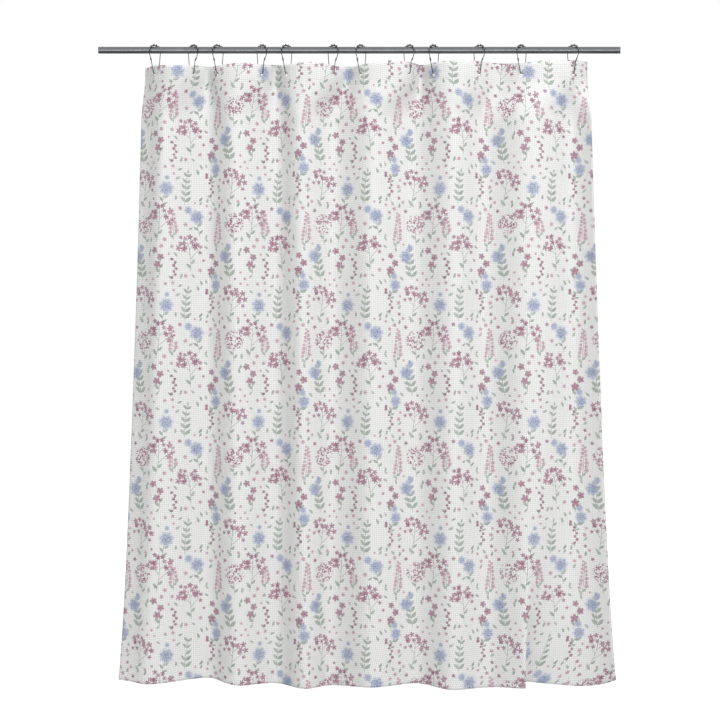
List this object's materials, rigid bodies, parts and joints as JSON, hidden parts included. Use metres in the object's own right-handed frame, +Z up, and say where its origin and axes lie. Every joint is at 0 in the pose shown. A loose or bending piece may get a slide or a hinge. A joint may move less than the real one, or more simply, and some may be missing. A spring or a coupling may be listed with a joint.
{
  "type": "shower curtain",
  "caption": "Pleated cloth shower curtain with a floral print, hung by stitched eyelets on bent-wire roller hooks that slide along a straight round metal rod.",
  "frame": {"origin": "middle of the rod's axis", "axes": "+X along the rod to the viewer's right, -Y towards the room side that the viewer sees, +Z up"},
  "size_m": [1.524, 0.1046, 1.8808],
  "materials": {
    "rod_metal": "satin grey metal",
    "hook_wire": "dark polished wire",
    "hook_rollers": "bright polished balls",
    "eyelet_thread": "white stitched thread",
    "curtain_cloth": "off-white waffle-weave cloth with a watercolour floral print"
  },
  "bodies": {
    "rod": {"rod_tube": "rod_metal"},
    "panel_01": {"curtain_panel_01": "curtain_cloth", "eyelet_01": "eyelet_thread"},
    "panel_02": {"curtain_panel_02": "curtain_cloth", "eyelet_02": "eyelet_thread"},
    "panel_03": {"curtain_panel_03": "curtain_cloth", "eyelet_03": "eyelet_thread"},
    "panel_04": {"curtain_panel_04": "curtain_cloth", "eyelet_04": "eyelet_thread"},
    "panel_05": {"curtain_panel_05": "curtain_cloth", "eyelet_05": "eyelet_thread"},
    "panel_06": {"curtain_panel_06": "curtain_cloth", "eyelet_06": "eyelet_thread"},
    "panel_07": {"curtain_panel_07": "curtain_cloth", "eyelet_07": "eyelet_thread"},
    "panel_08": {"curtain_panel_08": "curtain_cloth", "eyelet_08": "eyelet_thread"},
    "panel_09": {"curtain_panel_09": "curtain_cloth", "eyelet_09": "eyelet_thread"},
    "panel_10": {"curtain_panel_10": "curtain_cloth", "eyelet_10": "eyelet_thread"},
    "panel_11": {"curtain_panel_11": "curtain_cloth", "eyelet_11": "eyelet_thread"},
    "panel_12": {"curtain_panel_12": "curtain_cloth", "eyelet_12": "eyelet_thread"},
    "hook_01": {"hook_wire_01": "hook_wire", "hook_rollers_01": "hook_rollers"},
    "hook_02": {"hook_wire_02": "hook_wire", "hook_rollers_02": "hook_rollers"},
    "hook_03": {"hook_wire_03": "hook_wire", "hook_rollers_03": "hook_rollers"},
    "hook_04": {"hook_wire_04": "hook_wire", "hook_rollers_04": "hook_rollers"},
    "hook_05": {"hook_wire_05": "hook_wire", "hook_rollers_05": "hook_rollers"},
    "hook_06": {"hook_wire_06": "hook_wire", "hook_rollers_06": "hook_rollers"},
    "hook_07": {"hook_wire_07": "hook_wire", "hook_rollers_07": "hook_rollers"},
    "hook_08": {"hook_wire_08": "hook_wire", "hook_rollers_08": "hook_rollers"},
    "hook_09": {"hook_wire_09": "hook_wire", "hook_rollers_09": "hook_rollers"},
    "hook_10": {"hook_wire_10": "hook_wire", "hook_rollers_10": "hook_rollers"},
    "hook_11": {"hook_wire_11": "hook_wire", "hook_rollers_11": "hook_rollers"},
    "hook_12": {"hook_wire_12": "hook_wire", "hook_rollers_12": "hook_rollers"}
  },
  "joints": [
    {"name": "curtain_swing", "type": "hinge", "parent": "rod", "child": "panel_01", "pos_m": [0, 0, 0], "axis": [1, 0, 0], "range_deg": [-15, 15]},
    {"name": "curtain_draw", "type": "slide", "parent": "panel_01", "child": "panel_12", "axis": [1, 0, 0], "range_m": [-0.83, 0], "deforming": ["curtain_panel_01", "curtain_panel_02", "curtain_panel_03", "curtain_panel_04", "curtain_panel_05", "curtain_panel_06", "curtain_panel_07", "curtain_panel_08", "curtain_panel_09", "curtain_panel_10", "curtain_panel_11", "curtain_panel_12"]},
    {"name": "panel_slide_02", "type": "slide", "parent": "panel_01", "child": "panel_02", "axis": [1, 0, 0], "range_m": [-0.0765, 0]},
    {"name": "panel_slide_03", "type": "slide", "parent": "panel_01", "child": "panel_03", "axis": [1, 0, 0], "range_m": [-0.1261, 0]},
    {"name": "panel_slide_04", "type": "slide", "parent": "panel_01", "child": "panel_04", "axis": [1, 0, 0], "range_m": [-0.2131, 0]},
    {"name": "panel_slide_05", "type": "slide", "parent": "panel_01", "child": "panel_05", "axis": [1, 0, 0], "range_m": [-0.2627, 0]},
    {"name": "panel_slide_06", "type": "slide", "parent": "panel_01", "child": "panel_06", "axis": [1, 0, 0], "range_m": [-0.3545, 0]},
    {"name": "panel_slide_07", "type": "slide", "parent": "panel_01", "child": "panel_07", "axis": [1, 0, 0], "range_m": [-0.4102, 0]},
    {"name": "panel_slide_08", "type": "slide", "parent": "panel_01", "child": "panel_08", "axis": [1, 0, 0], "range_m": [-0.5054, 0]},
    {"name": "panel_slide_09", "type": "slide", "parent": "panel_01", "child": "panel_09", "axis": [1, 0, 0], "range_m": [-0.555, 0]},
    {"name": "panel_slide_10", "type": "slide", "parent": "panel_01", "child": "panel_10", "axis": [1, 0, 0], "range_m": [-0.6447, 0]},
    {"name": "panel_slide_11", "type": "slide", "parent": "panel_01", "child": "panel_11", "axis": [1, 0, 0], "range_m": [-0.729, 0]},
    {"name": "hook_turn_01", "type": "hinge", "parent": "panel_01", "child": "hook_01", "pos_m": [-0.597, 0, 0], "axis": [0, 0, 1], "range_deg": [-0.5, 28.5]},
    {"name": "hook_turn_02", "type": "hinge", "parent": "panel_02", "child": "hook_02", "pos_m": [-0.486, 0, 0], "axis": [0, 0, 1], "range_deg": [-28.5, 0.5]},
    {"name": "hook_turn_03", "type": "hinge", "parent": "panel_03", "child": "hook_03", "pos_m": [-0.413, 0, 0], "axis": [0, 0, 1], "range_deg": [-0.5, 28.5]},
    {"name": "hook_turn_04", "type": "hinge", "parent": "panel_04", "child": "hook_04", "pos_m": [-0.285, 0, 0], "axis": [0, 0, 1], "range_deg": [-28.5, 0.5]},
    {"name": "hook_turn_05", "type": "hinge", "parent": "panel_05", "child": "hook_05", "pos_m": [-0.212, 0, 0], "axis": [0, 0, 1], "range_deg": [-0.5, 28.5]},
    {"name": "hook_turn_06", "type": "hinge", "parent": "panel_06", "child": "hook_06", "pos_m": [-0.077, 0, 0], "axis": [0, 0, 1], "range_deg": [-28.5, 0.5]},
    {"name": "hook_turn_07", "type": "hinge", "parent": "panel_07", "child": "hook_07", "pos_m": [0.005, 0, 0], "axis": [0, 0, 1], "range_deg": [-0.5, 28.5]},
    {"name": "hook_turn_08", "type": "hinge", "parent": "panel_08", "child": "hook_08", "pos_m": [0.145, 0, 0], "axis": [0, 0, 1], "range_deg": [-28.5, 0.5]},
    {"name": "hook_turn_09", "type": "hinge", "parent": "panel_09", "child": "hook_09", "pos_m": [0.218, 0, 0], "axis": [0, 0, 1], "range_deg": [-0.5, 28.5]},
    {"name": "hook_turn_10", "type": "hinge", "parent": "panel_10", "child": "hook_10", "pos_m": [0.35, 0, 0], "axis": [0, 0, 1], "range_deg": [-28.5, 0.5]},
    {"name": "hook_turn_11", "type": "hinge", "parent": "panel_11", "child": "hook_11", "pos_m": [0.474, 0, 0], "axis": [0, 0, 1], "range_deg": [-0.5, 28.5]},
    {"name": "hook_turn_12", "type": "hinge", "parent": "panel_12", "child": "hook_12", "pos_m": [0.624, 0, 0], "axis": [0, 0, 1], "range_deg": [-28.5, 0.5]}
  ],
  "couplings": [
    {"joint": "panel_slide_02", "follows": "curtain_draw", "ratio": 0.09091},
    {"joint": "panel_slide_03", "follows": "curtain_draw", "ratio": 0.1507},
    {"joint": "panel_slide_04", "follows": "curtain_draw", "ratio": 0.25553},
    {"joint": "panel_slide_05", "follows": "curtain_draw", "ratio": 0.31532},
    {"joint": "panel_slide_06", "follows": "curtain_draw", "ratio": 0.42588},
    {"joint": "panel_slide_07", "follows": "curtain_draw", "ratio": 0.49304},
    {"joint": "panel_slide_08", "follows": "curtain_draw", "ratio": 0.6077},
    {"joint": "panel_slide_09", "follows": "curtain_draw", "ratio": 0.66749},
    {"joint": "panel_slide_10", "follows": "curtain_draw", "ratio": 0.77559},
    {"joint": "panel_slide_11", "follows": "curtain_draw", "ratio": 0.87715},
    {"joint": "hook_turn_01", "follows": "curtain_draw", "rad_per_m": -0.5888},
    {"joint": "hook_turn_02", "follows": "curtain_draw", "rad_per_m": 0.5888},
    {"joint": "hook_turn_03", "follows": "curtain_draw", "rad_per_m": -0.5888},
    {"joint": "hook_turn_04", "follows": "curtain_draw", "rad_per_m": 0.5888},
    {"joint": "hook_turn_05", "follows": "curtain_draw", "rad_per_m": -0.5888},
    {"joint": "hook_turn_06", "follows": "curtain_draw", "rad_per_m": 0.5888},
    {"joint": "hook_turn_07", "follows": "curtain_draw", "rad_per_m": -0.5888},
    {"joint": "hook_turn_08", "follows": "curtain_draw", "rad_per_m": 0.5888},
    {"joint": "hook_turn_09", "follows": "curtain_draw", "rad_per_m": -0.5888},
    {"joint": "hook_turn_10", "follows": "curtain_draw", "rad_per_m": 0.5888},
    {"joint": "hook_turn_11", "follows": "curtain_draw", "rad_per_m": -0.5888},
    {"joint": "hook_turn_12", "follows": "curtain_draw", "rad_per_m": 0.5888}
  ]
}
